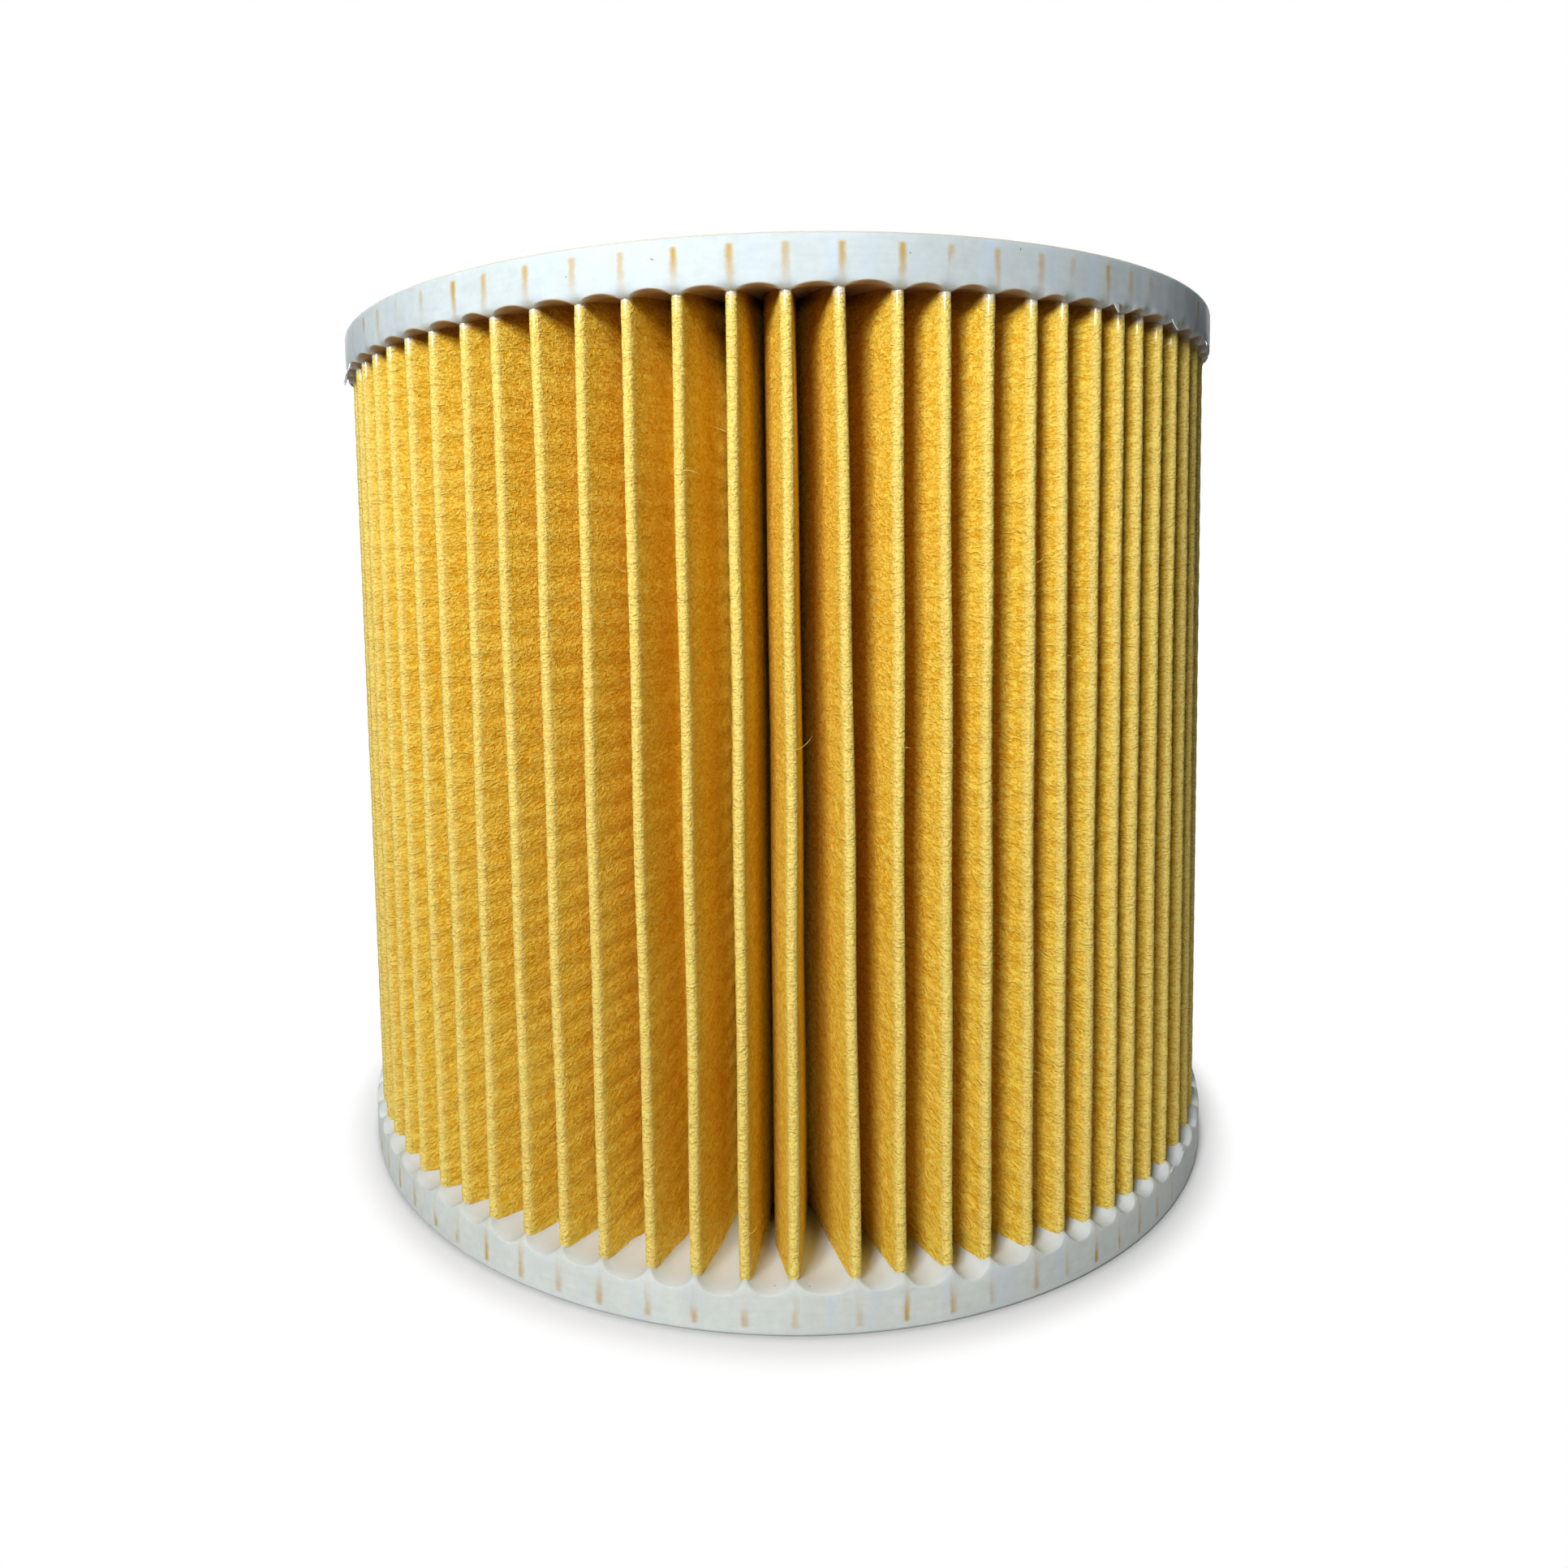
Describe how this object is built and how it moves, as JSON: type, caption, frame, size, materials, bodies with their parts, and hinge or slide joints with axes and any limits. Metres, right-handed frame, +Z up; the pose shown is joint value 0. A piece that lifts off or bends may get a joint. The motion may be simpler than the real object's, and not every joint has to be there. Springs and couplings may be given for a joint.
{
  "type": "cartridge filter",
  "caption": "Round pleated-paper cartridge filter on a lattice core, cast into end caps with open bores, that slides over a vacuum cleaner's filter cage and keeps dust from its motor.",
  "frame": {"origin": "on the cartridge's axis, in the plane of the lower cap's end face", "axes": "+Z up along the cartridge's axis, out of the upper cap"},
  "size_m": [0.116, 0.116, 0.104],
  "materials": {
    "filter_paper": "matte fibrous paper",
    "cast_resin": "satin cast elastomer",
    "core_plastic": "moulded matte"
  },
  "bodies": {
    "root": {"pleated_paper": "filter_paper", "lower_end_cap": "cast_resin", "upper_end_cap": "cast_resin", "inner_core": "core_plastic"}
  },
  "joints": []
}
